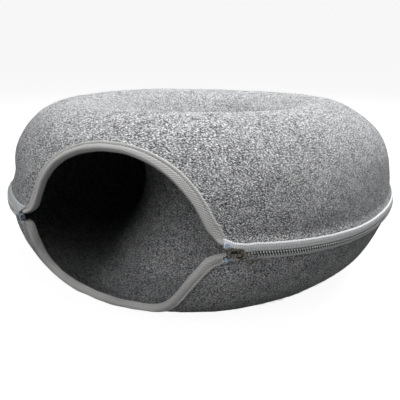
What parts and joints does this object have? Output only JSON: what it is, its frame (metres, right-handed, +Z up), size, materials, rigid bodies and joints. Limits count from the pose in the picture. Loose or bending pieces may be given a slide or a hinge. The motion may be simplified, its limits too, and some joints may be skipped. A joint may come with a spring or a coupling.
{
  "type": "felt donut cat bed",
  "caption": "Hollow ring-shaped cat bed moulded from thick grey felt, with a bound arched entrance, a centre hole and a zip round its rim that parts the two halves.",
  "frame": {"origin": "on the floor, under the middle of the outer box; the ring's axis stands 8 mm in front of it, towards the entrance", "axes": "+Z up along the ring's axis, -Y out of the entrance, +X towards the zip slider"},
  "size_m": [0.5035, 0.488, 0.2066],
  "materials": {
    "felt": "salt and pepper grey needle felt, matte and fibrous",
    "binding": "light warm grey twill tape",
    "tape": "pale grey ribbed zip tape",
    "coil": "pale nylon coil",
    "metal": "dark bronze plating with bright worn edges",
    "box": "blue-grey moulded plastic",
    "film": "pale blue sealing film"
  },
  "bodies": {
    "root": {"upper_shell": "felt", "lower_shell": "felt", "upper_binding": "binding", "lower_binding": "binding", "upper_zip_tape": "tape", "lower_zip_tape": "tape", "upper_zip_coil": "coil", "lower_zip_coil": "coil", "zip_slider": "metal", "pull_tab": "metal", "zip_box": "box", "upper_tape_film": "film", "lower_tape_film": "film"}
  },
  "joints": []
}
